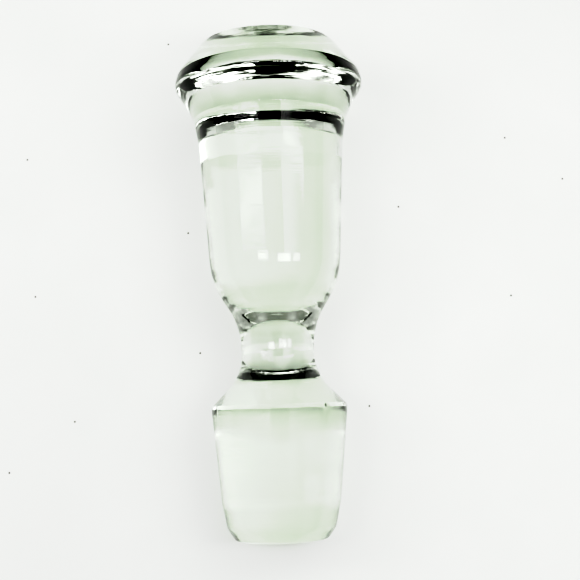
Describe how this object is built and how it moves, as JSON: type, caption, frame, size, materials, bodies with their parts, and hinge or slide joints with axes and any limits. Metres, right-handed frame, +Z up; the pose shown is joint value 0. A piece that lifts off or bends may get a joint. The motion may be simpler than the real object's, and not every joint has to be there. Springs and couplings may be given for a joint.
{
  "type": "glass bottle stopper",
  "caption": "Solid clear glass bottle stopper with a taper plug, a narrow waist, a long tapering grip and a flanged flat-topped head.",
  "frame": {"origin": "on the table, at the centre of the bottom of the stopper's box as it lies at rest", "axes": "+Z up from the table; +Y from the plug towards the head, along the table; +X across the stopper"},
  "size_m": [0.041, 0.1082, 0.0408],
  "materials": {
    "clear_glass": "fire-polished head, grip and waist; finely ground plug"
  },
  "bodies": {
    "root": {"glass_stopper": "clear_glass"}
  },
  "joints": []
}
